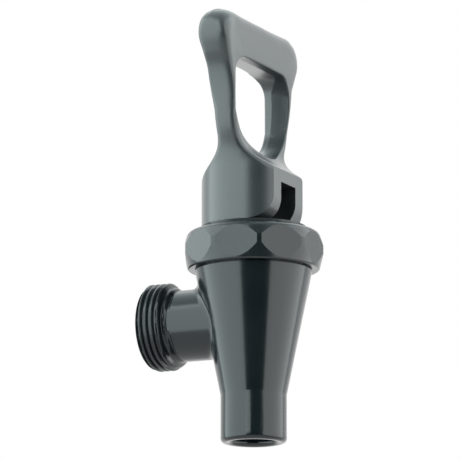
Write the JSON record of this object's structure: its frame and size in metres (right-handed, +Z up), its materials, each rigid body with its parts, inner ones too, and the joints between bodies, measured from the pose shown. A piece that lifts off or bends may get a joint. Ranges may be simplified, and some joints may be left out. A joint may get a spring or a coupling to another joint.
{
  "type": "beverage dispensing faucet",
  "caption": "Spring-closed urn faucet with a tapered barrel, plain spout, threaded inlet shank, faceted bonnet nut and a stirrup handle that tilts forward to pour.",
  "frame": {"origin": "on the inlet shank's axis, midway along its full thread", "axes": "+Y along the shank, out of its inlet end; +Z up, along the barrel from spout to handle; +X sideways; the user stands at -Y"},
  "size_m": [0.0516, 0.0515, 0.1229],
  "materials": {
    "black_plastic": "moulded gloss",
    "stem_plastic": "satin",
    "spring_steel": "drawn wire",
    "silicone": "soft matte"
  },
  "bodies": {
    "faucet": {"body": "black_plastic", "bonnet": "black_plastic", "spring": "spring_steel", "seat_cup": "silicone"},
    "stem": {"stem": "stem_plastic"},
    "handle": {"handle": "black_plastic"}
  },
  "joints": [
    {"name": "stem_lift", "type": "slide", "parent": "faucet", "child": "stem", "axis": [0, 0, 1], "range_m": [0, 0.0028], "stiffness_N_per_m": 700, "springref_m": -0.004, "deforming": ["spring", "seat_cup"]},
    {"name": "handle_tilt", "type": "hinge", "parent": "stem", "child": "handle", "pos_m": [0, -0.0284, 0.03326], "axis": [1, 0, 0], "range_deg": [0, 40]}
  ],
  "couplings": [
    {"joint": "handle_tilt", "follows": "stem_lift", "rad_per_m": 246.9}
  ]
}
